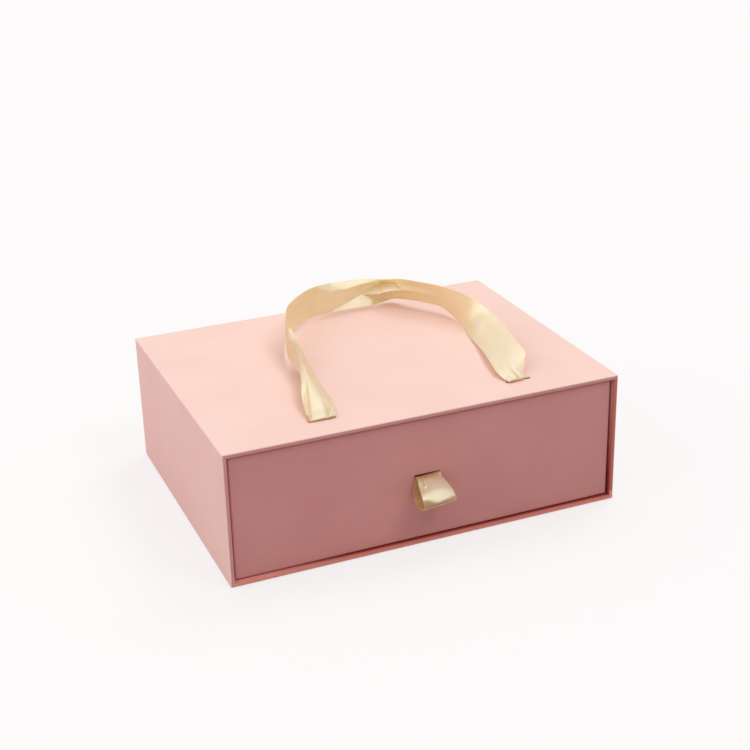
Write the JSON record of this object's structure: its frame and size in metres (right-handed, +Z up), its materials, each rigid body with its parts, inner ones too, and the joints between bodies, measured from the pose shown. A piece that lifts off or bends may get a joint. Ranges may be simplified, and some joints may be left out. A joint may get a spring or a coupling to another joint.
{
  "type": "drawer gift box",
  "caption": "Rigid paper-covered sleeve box with a sliding drawer, a ribbon pull loop on its front and a ribbon handle on top.",
  "frame": {"origin": "centre of the sleeve's underside, on the surface that the box stands on", "axes": "+X to the right seen from the drawer's front, +Y to the closed back, +Z up"},
  "size_m": [0.24, 0.1963, 0.106],
  "materials": {
    "greyboard": "matt solid greyboard, uncoated",
    "pink_paper": "matt-laminated blush pink wrap paper",
    "lining_paper": "uncoated off-white lining paper",
    "satin": "double-faced satin ribbon, champagne, soft sheen",
    "kraft_tape": "gummed kraft corner tape"
  },
  "bodies": {
    "sleeve": {"sleeve_top_board": "greyboard", "sleeve_bottom_board": "greyboard", "sleeve_left_board": "greyboard", "sleeve_right_board": "greyboard", "sleeve_back_board": "greyboard", "sleeve_wrap_paper": "pink_paper", "sleeve_base_paper": "pink_paper", "sleeve_back_paper": "pink_paper", "sleeve_liner": "lining_paper", "handle_left_tail": "satin", "handle_right_tail": "satin", "handle_left_patch": "lining_paper", "handle_right_patch": "lining_paper"},
    "drawer": {"drawer_base_board": "greyboard", "drawer_front_board": "greyboard", "drawer_back_board": "greyboard", "drawer_left_board": "greyboard", "drawer_right_board": "greyboard", "drawer_tape_front_left": "kraft_tape", "drawer_tape_front_right": "kraft_tape", "drawer_tape_back_left": "kraft_tape", "drawer_tape_back_right": "kraft_tape", "drawer_wrap_paper": "pink_paper", "drawer_base_paper": "pink_paper", "drawer_liner": "lining_paper", "pull_tail": "satin", "pull_patch": "lining_paper"},
    "handle": {"handle_ribbon": "satin"},
    "pull": {"pull_ribbon": "satin"}
  },
  "joints": [
    {"name": "drawer_slide", "type": "slide", "parent": "sleeve", "child": "drawer", "axis": [0, -1, 0], "range_m": [0, 0.163]},
    {"name": "handle_swing", "type": "hinge", "parent": "sleeve", "child": "handle", "pos_m": [0, -0.0715, 0.0818], "axis": [1, 0, 0], "range_deg": [0, 110]},
    {"name": "pull_swing", "type": "hinge", "parent": "drawer", "child": "pull", "pos_m": [-0.001, -0.089, 0.0425], "axis": [-1, 0, 0], "range_deg": [0, 90]}
  ]
}
